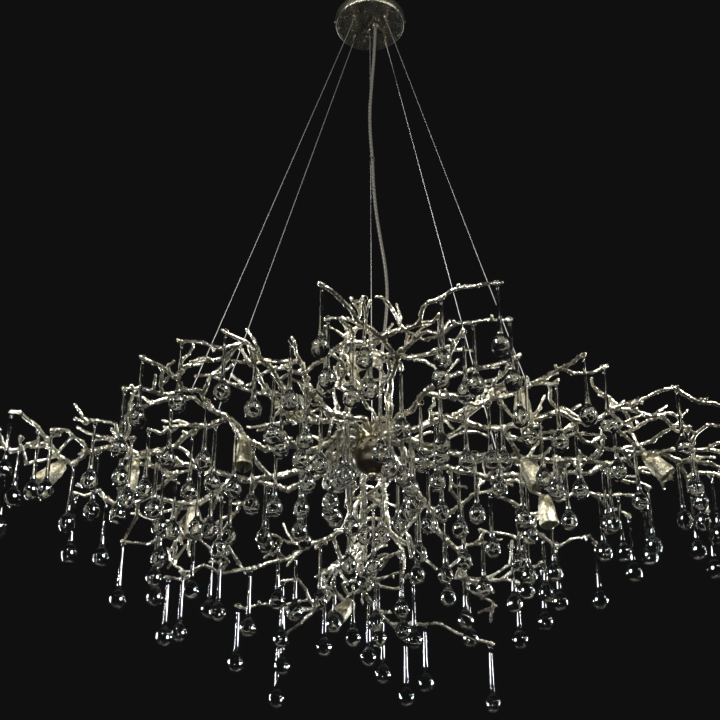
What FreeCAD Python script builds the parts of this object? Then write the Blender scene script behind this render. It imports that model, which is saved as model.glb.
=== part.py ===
import FreeCAD, Part
import math
import os

from FreeCAD import Vector

# Branch chandelier, in millimetres. The origin is the middle of the ceiling plane above the bracket,
# +Z is up, X runs along the long axis of the crown and the viewer stands low on the -Y side.
os.makedirs("parts", exist_ok=True)

# Driving dimensions of the canopy and the suspension.
canopy_radius = 80.0
canopy_height = 26.0
canopy_wall = 1.5
rim_width = 7.0
bracket_hole_spacing = 96.0
bracket_thickness = 2.5
wire_diameter = 1.5
gripper_radius = 4.5
gripper_length = 18.0
gripper_corner = 32.0
plunger_travel = 2.5
cable_diameter = 7.0

# Driving dimensions of the hub.
hub_disc_radius = 30.0
hub_disc_top = -1128.0
hub_disc_height = 30.0
bowl_rim = -1186.0
bowl_radius = 38.0
bowl_depth = 36.0
finial_radius = 9.0

# Driving dimensions of the glass drops, their rings and the lamp cups.
drop_length = 145.0
drop_radius = 15.5
drop_neck_radius = 3.6
loop_radius = 4.0
loop_wire = 1.3
ring_wire = 0.8
cup_length = 64.0
cup_mouth_radius = 20.0
cup_base_radius = 11.0

# The viewer's eye. A twig is given by the points where its lines of sight cross the plane y = 0.
# The crown is an oval dish: what is seen high up leans toward the viewer, what is seen low leans away.
eye = Vector(-23.0, -2700.0, -2854.0)
lean = 1.12
lean_level = -1150.0

twig_sides = 7
knot_swell = 1.14

up = Vector(0, 0, 1)


def along_sight(x, z, nearer):
    y = lean * (lean_level - z) - nearer
    reach = (y - eye.y) / (0.0 - eye.y)
    return Vector(eye.x + (x - eye.x) * reach, y, eye.z + (z - eye.z) * reach)


def around(radius, degrees, z):
    angle = math.radians(degrees)
    return Vector(radius * math.cos(angle), radius * math.sin(angle), z)


def tube(start, end, radius):
    return Part.makeCylinder(radius, (end - start).Length, start, end - start)


def ring(centre, axis, radius, wire):
    return Part.makeTorus(radius, wire, centre, axis)


# Solid of revolution of an outline given as (radius, height) along the axis.
def turned(outline, centre, axis):
    points = [Vector(r, 0, h) for r, h in outline]
    face = Part.Face(Part.makePolygon(points + [points[0]]))
    solid = face.revolve(Vector(0, 0, 0), up, 360)
    solid.Placement = FreeCAD.Placement(centre, FreeCAD.Rotation(up, axis))
    return solid


def save(name, solids):
    shape = solids[0] if len(solids) == 1 else Part.makeCompound(solids)
    shape.exportStep("parts/%s.step" % name)
    print(name, len(solids), round(shape.Volume))


# ---------------------------------------------------------------- branches
# Each arm is one casting. Its first twig starts at the hub disc at the arm's own bearing, and each
# twig is: thickness at the start and at the end, how much nearer than the dish it starts and ends,
# and its points.
arms = {
    "arm_front": (283, [
        (5.6, 4.6, 20, 30, [(34, -1100), (32, -1050), (34, -1015), (50, -963), (36, -938), (20, -905)]),
        (4.2, 2.8, 30, 34, [(20, -905), (-27, -860), (-52, -828), (-85, -790), (-106, -770)]),
        (4.4, 3.6, 30, 8, [(20, -905), (-18, -917), (-42, -925), (-57, -952), (-70, -985), (-62, -1014)]),
        (4.0, 3.0, 30, 40, [(20, -905), (50, -893), (90, -877), (100, -848), (118, -820), (165, -795),
                            (205, -783), (228, -772), (265, -768)]),
        (3.0, 2.4, 36, 40, [(90, -877), (122, -868), (140, -852)]),
        (3.4, 2.8, 26, 20, [(50, -963), (57, -974), (58, -988)]),
        (4.0, 2.8, 26, 50, [(50, -963), (70, -930), (93, -913), (114, -892), (143, -893), (177, -875),
                            (232, -868), (285, -860)]),
        (2.6, 2.4, 33, 44, [(93, -913), (110, -917), (128, -904), (143, -893)]),
        (3.2, 2.4, 30, 34, [(-42, -925), (-42, -885), (-58, -860), (-95, -858)]),
    ]),
    "arm_front_left": (257, [
        (5.6, 4.6, 25, -10, [(-78, -1085), (-120, -1045), (-131, -1000)]),
        (3.8, 2.6, -10, -20, [(-131, -1000), (-115, -980), (-85, -950), (-48, -910), (-28, -880),
                              (-20, -850), (-13, -802)]),
        (2.6, 2.2, -20, -22, [(-20, -850), (-27, -830), (-37, -810)]),
        (3.4, 2.2, -10, 10, [(-131, -1000), (-141, -965), (-150, -940), (-162, -910)]),
        (3.4, 2.6, -10, -20, [(-131, -1000), (-148, -990), (-171, -978), (-196, -983)]),
        (2.8, 2.2, -18, -16, [(-48, -910), (-70, -895), (-97, -880)]),
        (4.4, 4.0, 5, 60, [(-120, -1045), (-84, -1024), (-40, -1019), (0, -1022), (22, -1038)]),
        (3.4, 2.6, 60, 40, [(-100, -1051), (-50, -1038), (-20, -1033), (12, -1044)]),
        (3.2, 2.8, 45, 70, [(-50, -1038), (-45, -1062), (-54, -1095)]),
    ]),
    "arm_left_crown": (231, [
        (5.6, 4.6, 10, 20, [(-95, -1108), (-150, -1112), (-166, -1062), (-176, -1022)]),
        (4.2, 2.6, 20, 10, [(-176, -1022), (-208, -972), (-235, -942), (-253, -923), (-275, -905), (-298, -887)]),
        (3.4, 2.8, 14, 20, [(-253, -923), (-300, -932), (-340, -925), (-385, -917)]),
        (3.0, 2.6, 14, 24, [(-212, -968), (-222, -950), (-233, -930)]),
        (3.8, 3.0, 14, 46, [(-160, -1110), (-192, -1058), (-210, -1028), (-230, -985), (-240, -962), (-243, -935)]),
        (3.0, 2.4, 40, 46, [(-230, -985), (-240, -976), (-253, -968)]),
        (3.0, 2.2, 20, 16, [(-166, -1055), (-188, -1041), (-215, -1036)]),
        (3.2, 2.4, 20, -6, [(-166, -1062), (-150, -1052), (-132, -1060)]),
    ]),
    "arm_left_high": (205, [
        (5.8, 5.0, 0, 0, [(-105, -1178), (-160, -1158), (-205, -1172), (-247, -1148), (-264, -1118)]),
        (4.4, 4.0, 0, 20, [(-264, -1118), (-282, -1094), (-320, -1074), (-347, -1057), (-395, -1054)]),
        (3.6, 2.8, 20, 20, [(-395, -1054), (-430, -1066), (-462, -1086), (-480, -1102)]),
        (3.8, 2.6, 10, 50, [(-305, -1082), (-335, -1040), (-358, -1036), (-380, -1010), (-405, -990), (-458, -952)]),
        (3.4, 2.8, 36, 30, [(-358, -1036), (-395, -1045), (-412, -1048), (-437, -1034), (-452, -1028), (-489, -1030)]),
        (5.0, 4.0, -10, -30, [(-282, -1094), (-326, -1118), (-362, -1146), (-376, -1162), (-440, -1182), (-486, -1156)]),
        (3.0, 2.3, -12, 6, [(-326, -1118), (-388, -1121), (-406, -1134), (-434, -1125)]),
        (3.4, 2.4, -24, 20, [(-376, -1162), (-350, -1180), (-338, -1200), (-312, -1206), (-296, -1220)]),
    ]),
    "arm_left_far": (180, [
        (5.8, 5.0, -30, -30, [(-100, -1212), (-170, -1228), (-230, -1238), (-300, -1222), (-352, -1204),
                              (-400, -1212)]),
        (4.8, 4.2, -30, 10, [(-400, -1212), (-448, -1198), (-500, -1166), (-545, -1182), (-570, -1204)]),
        (4.4, 2.6, 10, 0, [(-570, -1204), (-598, -1185), (-622, -1146), (-655, -1112), (-678, -1085), (-703, -1083)]),
        (3.6, 2.4, 10, 20, [(-570, -1204), (-606, -1185), (-630, -1196), (-658, -1200), (-667, -1170), (-673, -1140)]),
        (3.0, 2.4, 14, 40, [(-606, -1185), (-622, -1162), (-648, -1168)]),
        (4.0, 2.4, 0, -20, [(-614, -1160), (-640, -1150), (-684, -1172), (-702, -1158), (-722, -1118)]),
        (2.8, 2.4, -10, -20, [(-684, -1172), (-700, -1166), (-725, -1163)]),
        (3.6, 2.8, 10, 30, [(-545, -1182), (-552, -1150), (-584, -1130), (-620, -1127)]),
        (3.6, 2.4, 8, -20, [(-448, -1198), (-470, -1170), (-510, -1145), (-548, -1134), (-566, -1122)]),
        (3.6, 2.6, 20, 60, [(-500, -1166), (-478, -1150), (-455, -1146)]),
        (3.4, 2.4, 20, 24, [(-478, -1150), (-492, -1113), (-540, -1105)]),
        (3.0, 2.2, 10, 4, [(-594, -1226), (-640, -1233), (-665, -1220), (-697, -1211)]),
    ]),
    "arm_left_low": (154, [
        (5.6, 4.6, -70, -60, [(-90, -1225), (-160, -1262), (-230, -1240), (-262, -1243), (-300, -1275),
                              (-336, -1300)]),
        (4.2, 2.6, -60, -40, [(-336, -1300), (-350, -1326), (-372, -1350), (-412, -1377), (-464, -1368)]),
        (3.0, 2.2, -60, -50, [(-336, -1300), (-370, -1304), (-396, -1309), (-397, -1330)]),
        (3.4, 2.4, -44, -70, [(-388, -1362), (-350, -1355), (-306, -1346), (-270, -1318)]),
        (4.6, 3.6, -60, -40, [(-318, -1288), (-366, -1290), (-415, -1272), (-440, -1290), (-478, -1294),
                              (-515, -1262), (-556, -1250)]),
        (3.6, 3.0, -50, -60, [(-415, -1272), (-388, -1240), (-366, -1218)]),
        (3.2, 2.4, -44, -50, [(-440, -1290), (-436, -1318), (-456, -1362)]),
        (3.0, 2.4, -42, -20, [(-515, -1262), (-535, -1276), (-560, -1270)]),
        (3.0, 2.2, -60, -80, [(-350, -1355), (-318, -1362), (-290, -1395)]),
    ]),
    "arm_low_left": (128, [
        (5.6, 4.6, -60, -30, [(-45, -1255), (-42, -1330), (-76, -1360), (-115, -1380)]),
        (4.4, 2.8, -30, 0, [(-115, -1380), (-165, -1406), (-200, -1422), (-245, -1430), (-270, -1434),
                            (-305, -1420), (-346, -1447), (-376, -1444)]),
        (3.0, 2.2, 0, 6, [(-270, -1434), (-264, -1412), (-281, -1390)]),
        (2.6, 2.4, 6, 10, [(-318, -1428), (-332, -1436), (-350, -1435)]),
        (3.4, 2.4, -36, -50, [(-76, -1360), (-20, -1322), (6, -1291)]),
        (3.0, 2.2, -20, -30, [(-165, -1406), (-178, -1388), (-170, -1366)]),
    ]),
    "arm_low_back": (103, [
        (5.4, 4.6, -150, -70, [(-15, -1290), (-20, -1345), (-48, -1398), (-90, -1440), (-78, -1480)]),
        (4.4, 3.6, -70, -70, [(-78, -1480), (-95, -1507), (-125, -1510), (-165, -1505)]),
        (3.4, 2.4, -70, -60, [(-165, -1505), (-192, -1502), (-224, -1507), (-246, -1497)]),
        (3.4, 2.6, -70, -50, [(-95, -1507), (-122, -1526), (-140, -1546), (-172, -1572)]),
        (3.6, 2.4, -70, -60, [(-95, -1507), (-116, -1488), (-121, -1466), (-136, -1448), (-168, -1454)]),
        (2.6, 2.0, -66, -60, [(-116, -1488), (-130, -1492), (-157, -1499)]),
        (3.6, 3.0, -70, -80, [(-78, -1480), (-58, -1478), (-38, -1494)]),
        (2.8, 2.2, -72, -66, [(-58, -1478), (-74, -1466), (-92, -1470)]),
    ]),
    "arm_low_middle": (77, [
        (5.4, 4.6, -160, -20, [(24, -1290), (10, -1358), (-28, -1382), (-39, -1408), (-22, -1436), (-8, -1452)]),
        (3.8, 2.4, -20, -10, [(-8, -1452), (10, -1430), (26, -1408), (56, -1386)]),
        (2.6, 2.0, -14, -10, [(26, -1408), (12, -1412), (0, -1421)]),
        (3.2, 2.4, -20, -30, [(-8, -1452), (14, -1465), (50, -1466), (66, -1440), (76, -1456)]),
        (2.8, 2.2, -20, 0, [(-8, -1452), (28, -1445), (58, -1430)]),
        (3.6, 3.0, -20, -40, [(-8, -1452), (-18, -1470), (2, -1502), (32, -1538)]),
        (2.8, 2.4, -40, -36, [(32, -1538), (45, -1556), (62, -1568)]),
        (3.2, 2.4, -40, -20, [(32, -1538), (66, -1535), (118, -1540), (150, -1555), (212, -1579)]),
        (3.0, 2.4, -20, -40, [(-8, -1452), (-24, -1474), (-42, -1478), (-56, -1456), (-30, -1446)]),
    ]),
    "arm_low_right": (51, [
        (5.6, 4.6, -110, -60, [(60, -1245), (112, -1300), (116, -1342), (155, -1385), (168, -1414)]),
        (4.0, 3.4, -60, -30, [(168, -1414), (150, -1446), (195, -1450), (236, -1448)]),
        (3.0, 2.4, -30, -20, [(236, -1448), (266, -1453)]),
        (3.0, 2.4, -30, -40, [(236, -1448), (258, -1430), (300, -1420), (312, -1411)]),
        (3.0, 2.4, -36, -50, [(188, -1450), (218, -1440), (248, -1419), (274, -1408)]),
        (2.8, 2.4, -54, -70, [(248, -1419), (250, -1395), (256, -1372)]),
        (3.2, 2.4, -60, -80, [(168, -1414), (172, -1474), (195, -1480), (216, -1496), (212, -1532)]),
        (3.4, 2.6, -60, -90, [(112, -1300), (60, -1345), (26, -1350), (-18, -1336)]),
        (3.4, 2.6, -60, -50, [(116, -1342), (150, -1306), (185, -1270), (226, -1260)]),
    ]),
    "arm_right_low": (26, [
        (5.6, 4.8, -60, -40, [(75, -1205), (135, -1208), (190, -1226), (230, -1236), (262, -1228), (296, -1230)]),
        (4.6, 4.0, -40, -30, [(296, -1230), (345, -1226), (382, -1222), (412, -1221), (441, -1205)]),
        (3.4, 2.4, -36, -70, [(226, -1236), (246, -1276), (290, -1308), (336, -1316)]),
        (3.6, 3.0, -40, -60, [(296, -1230), (300, -1262), (345, -1284), (376, -1266), (430, -1270)]),
        (3.0, 2.2, -60, -40, [(430, -1270), (490, -1270), (512, -1279)]),
        (3.0, 2.2, -60, -60, [(404, -1268), (432, -1291), (480, -1316)]),
        (3.6, 3.0, -70, -80, [(276, -1298), (286, -1336), (340, -1378)]),
        (3.2, 2.4, -80, -70, [(340, -1378), (366, -1366), (400, -1360), (412, -1376)]),
        (3.2, 2.6, -80, -90, [(286, -1336), (270, -1368), (228, -1352), (196, -1346)]),
        (2.8, 2.2, -30, -20, [(441, -1205), (445, -1226), (480, -1241), (522, -1256)]),
    ]),
    "arm_right_far": (0, [
        (5.8, 5.0, -10, 10, [(100, -1176), (160, -1180), (230, -1182), (330, -1196), (400, -1196), (452, -1203)]),
        (4.6, 4.2, 10, 10, [(452, -1203), (500, -1182), (540, -1180), (584, -1196)]),
        (3.8, 2.6, 10, 30, [(584, -1196), (640, -1200), (676, -1222), (722, -1218)]),
        (3.6, 2.6, 10, 0, [(584, -1196), (592, -1234), (618, -1224), (660, -1232), (708, -1226)]),
        (3.8, 2.8, 10, 20, [(540, -1180), (598, -1170), (640, -1172), (690, -1180), (728, -1172)]),
        (3.4, 2.6, 16, 50, [(606, -1170), (620, -1138), (648, -1116), (690, -1120), (722, -1136)]),
        (3.0, 2.4, 20, 30, [(640, -1172), (660, -1156), (690, -1146)]),
        (4.0, 3.2, 10, 20, [(500, -1182), (470, -1172), (436, -1170), (404, -1152), (388, -1122)]),
        (3.6, 2.6, 14, 50, [(470, -1172), (510, -1160), (536, -1153), (560, -1135), (578, -1124), (614, -1121)]),
        (3.4, 2.6, 0, -30, [(574, -1260), (600, -1290), (626, -1307)]),
    ]),
    "arm_right_main": (334, [
        (5.8, 5.0, 0, 10, [(95, -1120), (150, -1094), (180, -1112), (216, -1126), (262, -1117), (330, -1096)]),
        (4.6, 4.0, 10, 10, [(330, -1096), (358, -1086), (412, -1114), (446, -1098), (470, -1077)]),
        (3.6, 2.8, 10, 30, [(470, -1077), (520, -1060), (552, -1042), (572, -1032), (602, -1027)]),
        (3.4, 2.8, 10, 0, [(470, -1077), (500, -1079), (530, -1090), (566, -1100)]),
        (3.2, 2.4, 0, -10, [(566, -1100), (530, -1106), (500, -1124), (476, -1142)]),
        (4.2, 3.2, 6, 40, [(250, -1120), (262, -1148), (276, -1172), (286, -1198)]),
        (3.4, 2.4, 10, -14, [(262, -1138), (300, -1152), (320, -1136), (372, -1124), (394, -1104)]),
        (3.0, 2.4, 10, 30, [(446, -1098), (475, -1130), (505, -1158)]),
    ]),
    "arm_right_top": (309, [
        (5.6, 4.8, 30, 30, [(80, -1078), (108, -1040), (138, -1012)]),
        (4.2, 2.8, 30, 10, [(138, -1012), (170, -995), (196, -985), (226, -979), (272, -968), (293, -950)]),
        (3.6, 3.0, 30, 10, [(138, -1012), (146, -972), (160, -930), (188, -886)]),
        (3.2, 2.4, 30, -30, [(138, -1012), (128, -985), (106, -962), (60, -952), (26, -954)]),
        (4.4, 3.8, 20, -20, [(108, -1040), (160, -1048), (200, -1070), (252, -1050), (290, -1040), (314, -1020)]),
        (3.8, 2.6, -20, 10, [(314, -1020), (345, -995), (370, -985), (400, -965), (424, -946)]),
        (3.2, 2.4, 0, -20, [(370, -985), (400, -995), (432, -992), (463, -975)]),
        (3.2, 2.4, -20, -10, [(314, -1020), (338, -1024), (356, -1024), (363, -1012)]),
        (3.2, 2.6, -10, -40, [(200, -1070), (212, -1040), (234, -1038), (266, -1086), (292, -1140)]),
        (2.6, 2.2, -20, 0, [(314, -1020), (304, -1012), (301, -1000)]),
    ]),
}


# Every twig of an arm as a list of (point, radius).
def arm_twigs(name):
    bearing, twigs = arms[name]
    result = []
    for number, (thick, thin, near_start, near_end, points) in enumerate(twigs):
        last = len(points) - 1
        path = []
        for step, (x, z) in enumerate(points):
            share = step / last
            near = near_start + (near_end - near_start) * share
            path.append((along_sight(x, z, near), thick + (thin - thick) * share))
        if number == 0:
            level = hub_disc_top - hub_disc_height / 2
            path[:0] = [(around(hub_disc_radius - 1, bearing, level), thick),
                        (around(hub_disc_radius + 26, bearing, level + 4), thick)]
        result.append(path)
    return join_forks(result)


# Moves the first point of each side twig beside the nearest point of the twigs before it, so that
# their axes pass each other and don't cross.
def join_forks(twigs):
    for number in range(1, len(twigs)):
        first, radius = twigs[number][0]
        best = None
        for other in twigs[:number]:
            for (a, ra), (b, rb) in zip(other, other[1:]):
                share = max(0.0, min(1.0, (first - a).dot(b - a) / (b - a).dot(b - a)))
                spot = a + (b - a) * share
                if best is None or (spot - first).Length < best[0]:
                    best = ((spot - first).Length, spot, b - a)
        skew = best[2].cross(twigs[number][1][0] - best[1]).normalize()
        twigs[number][0] = (best[1] + skew * radius * 0.2, radius)
    return twigs


# Rings along a twig as (centre, radius, direction): a knot at every bend, narrower between the knots
# and a blunt tip.
def twig_rings(path):
    ways = [(b - a).normalize() for (a, ra), (b, rb) in zip(path, path[1:])]
    first, thick = path[0]
    rings = [(first - ways[0] * 0.35 * thick, 0.95 * thick, ways[0])]
    for number, ((a, ra), (b, rb)) in enumerate(zip(path, path[1:])):
        way = ways[number]
        length = (b - a).Length
        turn_before = ways[number - 1].getAngle(way) if number else 0.0
        is_last = number + 1 == len(ways)
        turn_after = 0.0 if is_last else way.getAngle(ways[number + 1])
        before = min(0.42 * length, ra * (0.85 + math.tan(turn_before / 2)))
        after = min(0.42 * length, rb * (0.85 + math.tan(turn_after / 2)))
        uneven = 1 + 0.06 * math.sin(2.4 * number + 0.05 * length)
        rings.append((a + way * before, ra * 0.98, way))
        if length > before + after + 6:
            rings.append((a + way * (before + length - after) / 2, 0.46 * (ra + rb) * uneven, way))
        rings.append((b - way * after, rb * 0.98, way))
        if is_last:
            rings += [(b, rb * 0.95, way), (b + way * 0.45 * rb, rb * 0.6, way)]
        else:
            rings.append((b, rb * knot_swell, (way + ways[number + 1]).normalize()))
    return rings


# A twig as a closed solid of flat faces between its rings.
def twig_solid(path, turn):
    rings = twig_rings(path)
    across = up if abs(rings[0][2].dot(up)) < 0.9 else Vector(1, 0, 0)
    corners, faces = [], []
    for number, (centre, radius, way) in enumerate(rings):
        across = (across - way * across.dot(way)).normalize()
        beside = way.cross(across)
        for side in range(twig_sides):
            angle = math.radians(360 * side / twig_sides + turn)
            corners.append(centre + (across * math.cos(angle) + beside * math.sin(angle)) * radius)
        low, high = (number - 1) * twig_sides, number * twig_sides
        for side in range(twig_sides if number else 0):
            beyond = (side + 1) % twig_sides
            faces += [(low + side, low + beyond, high + beyond), (low + side, high + beyond, high + side)]
    corners += [rings[0][0], rings[-1][0]]
    last = (len(rings) - 1) * twig_sides
    for side in range(twig_sides):
        beyond = (side + 1) % twig_sides
        faces += [(len(corners) - 2, beyond, side), (len(corners) - 1, last + side, last + beyond)]
    skin = Part.Shape()
    skin.makeShapeFromMesh((corners, faces), 0.001)
    return Part.makeSolid(Part.Shell(skin.Faces))


# One casting: its twigs fused, with a hollow at the root where it butts against the hub disc.
def arm_solid(name):
    twigs = [twig_solid(path, 13 * number) for number, path in enumerate(twigs_of[name])]
    arm = twigs[0].multiFuse(twigs[1:])
    return arm.cut(Part.makeCylinder(hub_disc_radius, 60, Vector(0, 0, hub_disc_top - hub_disc_height - 15)))


twigs_of = {name: arm_twigs(name) for name in arms}
wood = [(a, b, max(ra, rb) * knot_swell, name) for name, twigs in twigs_of.items() for path in twigs
        for (a, ra), (b, rb) in zip(path, path[1:])]


# Nearest point of some arms' twigs, and the twig's radius and direction there.
def twig_at(spot, names):
    best = None
    for path in [path for name in names for path in twigs_of[name]]:
        for (a, ra), (b, rb) in zip(path, path[1:]):
            share = max(0.0, min(1.0, (spot - a).dot(b - a) / (b - a).dot(b - a)))
            near = a + (b - a) * share
            if best is None or (near - spot).Length < best[0]:
                best = ((near - spot).Length, near, ra + (rb - ra) * share, (b - a) * (1 / (b - a).Length))
    return best[1:]


# ---------------------------------------------------------------- lamp cups
# Each cup: the arm that carries it, its base as seen, how much nearer than the dish, and the way
# its mouth points.
cups = [
    ("arm_left_far", -576, -1212, 10, Vector(-0.66, -0.10, -0.75)),
    ("arm_left_far", -449, -1200, -12, Vector(-0.20, 0.10, -0.97)),
    ("arm_left_high", -250, -1152, 4, Vector(0.04, -0.10, -1.0)),
    ("arm_left_low", -330, -1302, -58, Vector(0.05, 0.05, -1.0)),
    ("arm_right_top", 26, -954, -30, Vector(-1.0, -0.10, -0.30)),
    ("arm_right_top", 292, -1041, -14, Vector(0.10, 0.40, -0.90)),
    ("arm_right_main", 286, -1198, 40, Vector(0.45, -0.15, -0.90)),
    ("arm_right_far", 516, -1190, 10, Vector(0.62, -0.05, -0.78)),
    ("arm_right_low", 320, -1272, -50, Vector(0.12, 0.10, -1.0)),
    ("arm_low_back", -38, -1500, -80, Vector(-0.50, -0.40, -0.75)),
]
cup_outline = [(0, 0), (cup_base_radius - 2, 0), (cup_base_radius, 3), (13, 24), (16, 46),
               (cup_mouth_radius, cup_length), (cup_mouth_radius - 2, cup_length), (14, 46), (11, 24), (9.2, 6), (0, 6)]
cup_envelope = cup_outline[:6] + [(0, cup_length)]
holder_outline = [(0, 6), (8.5, 6), (8.5, 18), (7, 20), (7, 26), (4.5, 26), (4.5, 22), (0, 22)]
lamp_outline = [(0, 22.5), (4, 22.5), (4, 27), (6, 30), (6, 70), (4.6, 74), (0, 76)]
lamp_end = lamp_outline[-1][1]


# A cup's base rests on the nearest twig of its arm.
def cup_place(cup):
    arm, x, z, nearer, toward = cup
    toward = toward * (1.0 / toward.Length)
    near, radius, ahead = twig_at(along_sight(x, z, nearer), [arm])
    return near + toward * radius * 0.5, toward


# ---------------------------------------------------------------- hanging places
# A drop hangs on a wire ring that is slipped over a twig. It is left out where it would touch
# something else.
drop_gap = 1.5
hook_gap = 0.3
ring_chords = 10
long_segment = 44.0
tip_inset = 6.5
swing_degrees = 15.0
swinging_count = 12
swinging_apart = 120.0
loop_drop = loop_radius - loop_wire - ring_wire - 0.4
neck_end = -104.0
bulb_level = -(drop_length - loop_radius - loop_wire - drop_radius)


# Radius of the ring that leaves room for the twig, and for the glass loop under it.
def ring_size(radius, slope):
    tall = radius / math.cos(slope)
    room = (loop_radius + loop_wire - loop_drop + 0.6) / math.cos(slope) - 0.55
    return tall, tall + room / 2 + ring_wire


# Ring and pivot of a drop that hangs at a share of the way along a twig's segment.
def station(a, b, ra, rb, share):
    spot = a + (b - a) * share
    radius = ra + (rb - ra) * share
    level = Vector(b.x - a.x, b.y - a.y, 0)
    slope = math.atan2(abs(b.z - a.z), max(level.Length, 0.001))
    if slope > math.radians(48):
        return None
    ahead = level * (1.0 / level.Length)
    tall, size = ring_size(radius, slope)
    centre = spot - up * (size - ring_wire - tall - 0.25)
    pivot = centre - up * size
    return {"ring": (centre, ahead, size), "pivot": pivot, "axle": up.cross(ahead), "slope": slope,
            "ahead": ahead, "segment": a}


def gap_between(p1, q1, p2, q2):
    d1, d2, r = q1 - p1, q2 - p2, p1 - p2
    a, e, f = d1.dot(d1), d2.dot(d2), d2.dot(r)
    c, b = d1.dot(r), d1.dot(d2)
    flat = a * e - b * b
    s = 0.0 if flat < 1e-9 else max(0.0, min(1.0, (b * f - c * e) / flat))
    t = (b * s + f) / e
    if t < 0.0:
        t, s = 0.0, max(0.0, min(1.0, -c / a))
    elif t > 1.0:
        t, s = 1.0, max(0.0, min(1.0, (b - c) / a))
    return (p1 + d1 * s - (p2 + d2 * t)).Length


# Neck and bulb of a drop as straight bars with a radius, swung by some degrees.
def drop_bars(place, degrees):
    angle = math.radians(degrees)
    down = up * -math.cos(angle) + place["ahead"] * math.sin(angle)
    start = place["pivot"] + down * loop_drop
    return [(start + down * 12, start - down * neck_end, drop_neck_radius + 0.6),
            (start - down * (bulb_level + 8), start - down * bulb_level, drop_radius)]


# The ring's wire and the glass loop as straight bars with a radius.
def hook_bars(place):
    centre, ahead, size = place["ring"]
    turns = [2 * math.pi * step / ring_chords for step in range(ring_chords)]
    corners = [centre + (up * math.cos(turn) + place["axle"] * math.sin(turn)) * size for turn in turns]
    loop = place["pivot"] - up * loop_drop
    bars = [(a, b, ring_wire) for a, b in zip(corners, corners[1:] + corners[:1])]
    return bars + [(loop, loop - up * 12, loop_radius + loop_wire)]


# The hook is tested against everything but the segment that it hangs on.
def is_clear(place, obstacles, angles):
    for degrees in angles:
        for start, end, radius in drop_bars(place, degrees):
            for p, q, other in obstacles:
                if gap_between(start, end, p, q) < radius + other + drop_gap:
                    return False
    centre, ahead, size = place["ring"]
    low = centre - up * (size + 16)
    near = [(p, q, other) for p, q, other in obstacles
            if p is not place["segment"] and gap_between(centre, low, p, q) < size + other + 4]
    for start, end, radius in hook_bars(place):
        for p, q, other in near:
            if gap_between(start, end, p, q) < radius + other + hook_gap:
                return False
    return True


# ---------------------------------------------------------------- wires and cable
# Each wire: where it leaves the canopy, and where its eye holds an arm.
canopy_face = -27.0
wires = [
    (Vector(-gripper_corner, gripper_corner, 0), along_sight(-298, -1085.5, 6)),
    (Vector(-gripper_corner, -gripper_corner, 0), along_sight(-345, -1038.2, 32)),
    (Vector(gripper_corner, -gripper_corner, 0), along_sight(306, -1026.3, -16)),
    (Vector(gripper_corner, gripper_corner, 0), along_sight(246, -1232.0, -44)),
    (Vector(0, 10, 0), Vector(0, 0, hub_disc_top + 9)),
]
cable_route = [
    (12, -4, -17), (11.5, -6, -70), (8, -5, -140), (3, -6, -215), (-2, -5, -300), (-0.5, -6, -375),
    (4, -5, -440), (5, -6, -510), (11, -5, -590), (20, -6, -665), (30, -5, -740), (33, -6, -815),
    (27, -4, -890), (19, -2, -960), (17, 4, -1030), (15.5, 11, -1085), (14, 12, -1128), (14, 12.5, -1166),
]


def wire_eye(top, spot):
    near, radius, ahead = twig_at(spot, arms)
    size = radius * knot_swell + 0.3 + wire_diameter / 2
    line = (top - near).normalize()
    side = (line - ahead * line.dot(ahead)).normalize()
    return near, ahead, size, near + side * size


wire_lines = []
wire_eyes = []
for top, low in wires[:4]:
    near, ahead, size, crown_point = wire_eye(top + up * canopy_face, low)
    wire_eyes.append(ring(near, ahead, size, wire_diameter / 2))
    wire_lines.append((top + up * (canopy_face + 5), crown_point + (top - crown_point).normalize() * 1.2))
hub_eye_centre = Vector(0, 0, hub_disc_top + 7.5)
wire_lines.append((wires[4][0] + up * (canopy_face + 5), hub_eye_centre + up * 12.4))


# A round tube with straight runs and tangent bends through hand-placed points.
def bent_tube(points, radius):
    points = [Vector(*p) for p in points]
    edges = []
    start = points[0]
    for before, corner, after in zip(points, points[1:], points[2:]):
        into, out = (corner - before).normalize(), (after - corner).normalize()
        turn = into.getAngle(out)
        tangent = 0.45 * min((corner - before).Length, (after - corner).Length)
        bend = tangent / math.tan(turn / 2)
        first, last = corner - into * tangent, corner + out * tangent
        middle = corner + (out - into).normalize() * (bend / math.cos(turn / 2) - bend)
        edges += [Part.makeLine(start, first), Part.Arc(first, middle, last).toShape()]
        start = last
        print("bend radius", round(bend))
    edges.append(Part.makeLine(start, points[-1]))
    spine = Part.Wire(edges)
    section = Part.Wire(Part.makeCircle(radius, points[0], points[1] - points[0]))
    solid = spine.makePipeShell([section], True, True)
    print("tube volume over section times length",
          round(solid.Volume / (math.pi * radius ** 2 * spine.Length), 4))
    return solid


# ---------------------------------------------------------------- drops that fit
still_things = [(a, b, r) for a, b, r, name in wood]
still_things += [(a, b, wire_diameter / 2) for a, b in wire_lines]
still_things += [(Vector(*a), Vector(*b), cable_diameter / 2) for a, b in zip(cable_route, cable_route[1:])]
for cup in cups:
    base, toward = cup_place(cup)
    still_things.append((base + toward * 8, base + toward * (cup_length - 12), cup_mouth_radius - 3))
    still_things.append((base + toward * (cup_length - 14), base + toward * (cup_length - 6), cup_mouth_radius))
    still_things.append((base + toward * cup_length, base + toward * (lamp_end - 3), 6.5))
still_things.append((Vector(0, 0, hub_disc_top), Vector(0, 0, bowl_rim), bowl_radius))

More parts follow.
